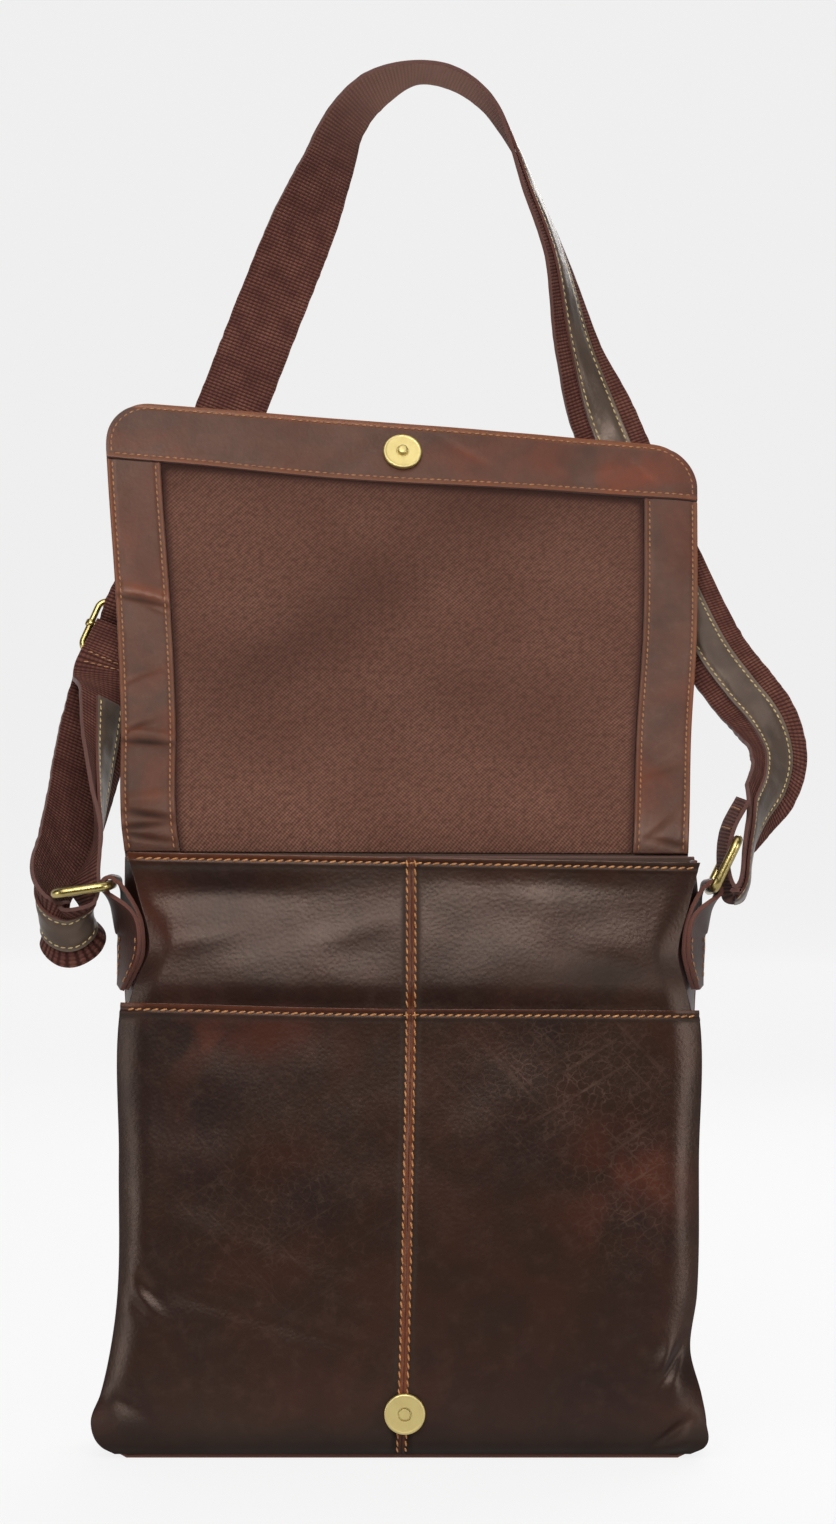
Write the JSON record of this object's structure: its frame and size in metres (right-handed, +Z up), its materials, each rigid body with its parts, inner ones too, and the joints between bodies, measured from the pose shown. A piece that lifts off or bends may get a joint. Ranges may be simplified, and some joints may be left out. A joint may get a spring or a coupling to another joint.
{
  "type": "leather crossbody bag",
  "caption": "Soft leather crossbody bag standing open with its lined flap raised behind, a full-width slip pocket, a magnetic snap and an adjustable webbing strap on brass rings.",
  "frame": {"origin": "middle of the flat base, on the surface that the bag stands on", "axes": "+Z up, +X to the right of the front as seen from in front, +Y from the front to the back"},
  "size_m": [0.3487, 0.1979, 0.6316],
  "materials": {
    "dark_leather": "waxed pull-up",
    "flap_leather": "waxed pull-up",
    "strap_leather": "matt",
    "twill": "woven",
    "webbing": "woven",
    "thread": "waxed",
    "brass": "antique",
    "pale_brass": "satin"
  },
  "bodies": {
    "root": {"front_panel": "dark_leather", "front_pocket": "dark_leather", "back_panel": "dark_leather", "gusset": "dark_leather", "flap_leather": "dark_leather", "flap_lining": "twill", "flap_facing_left": "flap_leather", "flap_facing_right": "flap_leather", "flap_end_band": "flap_leather", "snap_stud": "pale_brass", "snap_socket": "pale_brass", "tab_left": "dark_leather", "tab_right": "dark_leather", "ring_left": "brass", "ring_right": "brass", "slider_buckle": "brass", "strap_webbing": "webbing", "strap_leather_upper": "strap_leather", "strap_leather_lower": "strap_leather"}
  },
  "joints": []
}
